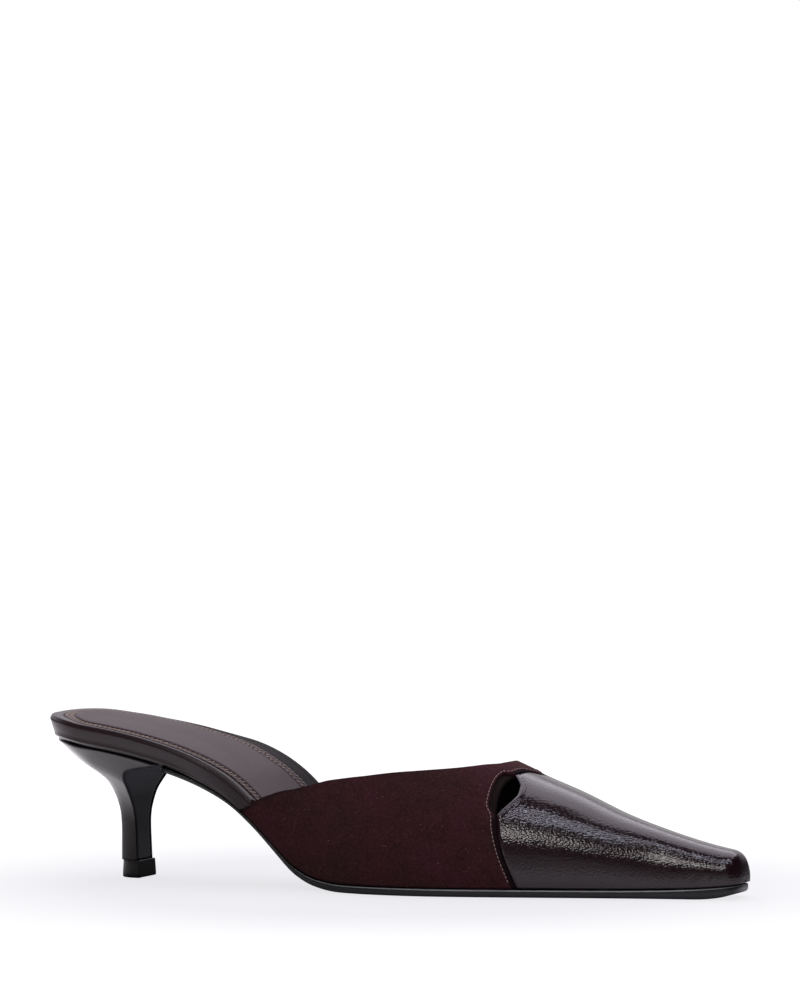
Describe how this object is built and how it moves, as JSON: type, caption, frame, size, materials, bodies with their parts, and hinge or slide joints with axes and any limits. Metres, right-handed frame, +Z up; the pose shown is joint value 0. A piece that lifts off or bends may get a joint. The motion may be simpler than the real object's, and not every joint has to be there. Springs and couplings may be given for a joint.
{
  "type": "mule",
  "caption": "Kitten-heel mule with a long squared toe, an open heel, a suede instep band, side keyholes and a slim flared heel with a black breast.",
  "frame": {"origin": "on the floor, under the middle of the shoe's length and width", "axes": "X from the heel to the toe, Y to the inner side of the foot, Z up"},
  "size_m": [0.267, 0.073, 0.059],
  "materials": {
    "black_sole": "black, thin, with a smooth polished edge",
    "wrap_leather": "dark aubergine-brown smooth leather, softly shiny",
    "sock_leather": "taupe smooth lining leather with a satin sheen",
    "toe_leather": "dark aubergine-brown grained nappa leather, polished",
    "suede": "dark burgundy-brown suede with a fine matte nap",
    "breast_gloss": "glossy black",
    "tip_rubber": "dull black"
  },
  "bodies": {
    "root": {"outsole": "black_sole", "insole_platform": "wrap_leather", "sock_lining": "sock_leather", "upper": "toe_leather", "suede_band": "suede", "heel": "wrap_leather", "heel_breast_panel": "breast_gloss", "heel_tip": "tip_rubber"}
  },
  "joints": []
}
